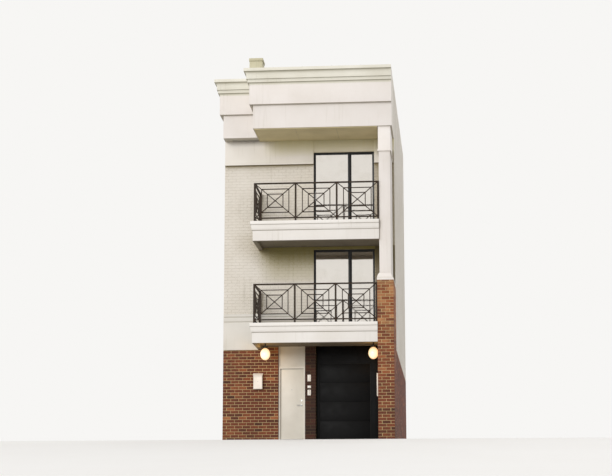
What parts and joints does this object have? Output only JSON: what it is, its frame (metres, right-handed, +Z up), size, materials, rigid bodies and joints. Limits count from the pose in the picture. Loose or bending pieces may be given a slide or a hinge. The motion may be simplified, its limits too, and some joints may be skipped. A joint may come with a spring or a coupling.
{
  "type": "townhouse",
  "caption": "Three-storey terraced townhouse with balconies, lattice railings, a brick ground storey, a garage front and a moulded parapet.",
  "frame": {"origin": "on the ground, at the middle of the plan between the facade and the rear wall", "axes": "+Z up, the street side at -Y, +X to the right when looking at the facade"},
  "size_m": [5.232, 10.79, 11.9],
  "materials": {
    "brick_red": "matte",
    "painted_brick": "matte",
    "render": "matte",
    "chimney_render": "matte",
    "concrete": "matte",
    "window_metal": "satin",
    "window_glass": "gloss",
    "railing_metal": "satin",
    "door_paint": "satin",
    "door_steel": "satin",
    "garage_paint": "satin",
    "lamp_metal": "satin",
    "lamp_glass": "gloss",
    "white_metal": "satin"
  },
  "bodies": {
    "house": {"balcony_first": "render", "balcony_second": "render", "chimney_cap": "chimney_render", "chimney_stack": "chimney_render", "cornice": "render", "door_hinge_pins": "door_steel", "entry_door_frame": "door_paint", "first_floor": "concrete", "frieze": "render", "front_beams": "painted_brick", "front_parapet": "render", "front_wall_first": "painted_brick", "front_wall_ground": "brick_red", "front_wall_second": "painted_brick", "garage_board": "white_metal", "garage_door": "garage_paint", "garage_surround": "garage_paint", "ground_slab": "concrete", "lamp_fittings": "lamp_metal", "lamp_globes": "lamp_glass", "letterbox": "white_metal", "over_door_panel": "door_paint", "parapet_coping": "render", "party_wall_left": "painted_brick", "party_wall_right": "painted_brick", "pier_brick": "brick_red", "pier_cap": "render", "pier_shaft": "render", "railing_first_front": "railing_metal", "railing_first_side": "railing_metal", "railing_second_front": "railing_metal", "railing_second_side": "railing_metal", "rear_parapet": "painted_brick", "rear_wall_ground": "brick_red", "rear_wall_upper": "painted_brick", "rear_window_frames": "window_metal", "rear_window_glass": "window_glass", "rear_window_sills": "concrete", "roof_slab": "concrete", "second_floor": "concrete", "side_parapets": "painted_brick", "sliding_door_frame_first": "window_metal", "sliding_door_frame_second": "window_metal", "sliding_door_glass_first": "window_glass", "sliding_door_glass_second": "window_glass", "wall_band": "render", "wall_plates": "white_metal"},
    "door": {"entry_door": "door_paint", "door_hinge_leaves": "door_steel", "entry_door_handle": "door_steel"}
  },
  "joints": [
    {"name": "entry_door_hinge", "type": "hinge", "parent": "house", "child": "door", "pos_m": [-0.8545, -4.331, 1.1], "axis": [0, 0, 1], "range_deg": [0, 90]}
  ]
}
